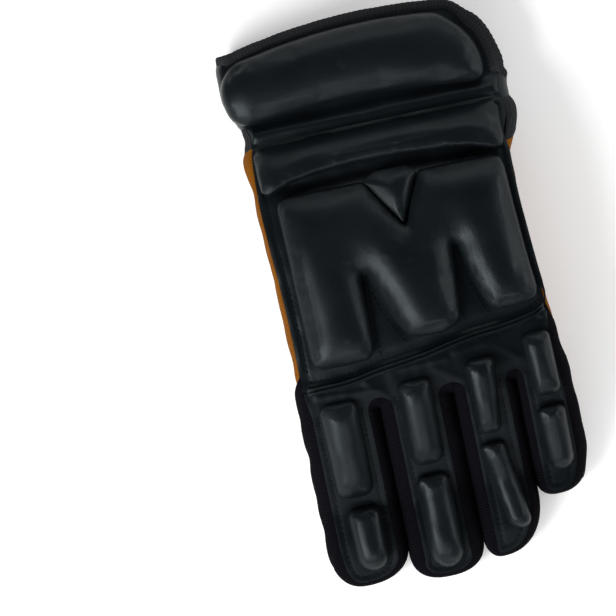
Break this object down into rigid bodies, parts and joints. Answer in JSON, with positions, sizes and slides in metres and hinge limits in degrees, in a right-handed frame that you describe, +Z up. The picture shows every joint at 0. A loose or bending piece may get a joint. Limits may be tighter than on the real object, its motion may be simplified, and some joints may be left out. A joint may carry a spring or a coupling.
{
  "type": "ball hockey glove",
  "caption": "Padded glove for the left hand: cloth palm, raised pads on the back, fingers, folded thumb and flared cuff.",
  "frame": {"origin": "middle of the glove's outline on the surface that it lies on", "axes": "+Y from the fingertips to the cuff, +Z up out of the back of the hand, -X the thumb side"},
  "size_m": [0.1282, 0.2575, 0.0509],
  "materials": {
    "black_vinyl": "satin coated vinyl with a fine grain over foam",
    "black_knit": "matte stretch knit",
    "palm_cloth": "tan woven palm cloth with a fine raised grid"
  },
  "bodies": {
    "root": {"palm_panel": "palm_cloth", "thumb_front": "palm_cloth", "cuff_elastic": "black_knit", "cuff_binding": "black_knit", "gusset_index": "black_knit", "gusset_middle": "black_knit", "gusset_ring": "black_knit", "gusset_little": "black_knit", "thumb_gusset": "black_knit", "cuff_band": "black_vinyl", "cuff_flange": "black_vinyl", "cuff_pad": "black_vinyl", "hand_back": "black_vinyl", "wrist_roll": "black_vinyl", "back_pad": "black_vinyl", "back_tongue": "black_vinyl", "knuckle_welt": "black_vinyl", "finger_back": "black_vinyl", "pad_index_upper": "black_vinyl", "pad_index_lower": "black_vinyl", "pad_middle_upper": "black_vinyl", "pad_middle_lower": "black_vinyl", "pad_ring_upper": "black_vinyl", "pad_ring_lower": "black_vinyl", "pad_little_upper": "black_vinyl", "pad_little_lower": "black_vinyl", "thumb_back": "black_vinyl", "thumb_pad_upper": "black_vinyl", "thumb_pad_lower": "black_vinyl"}
  },
  "joints": []
}
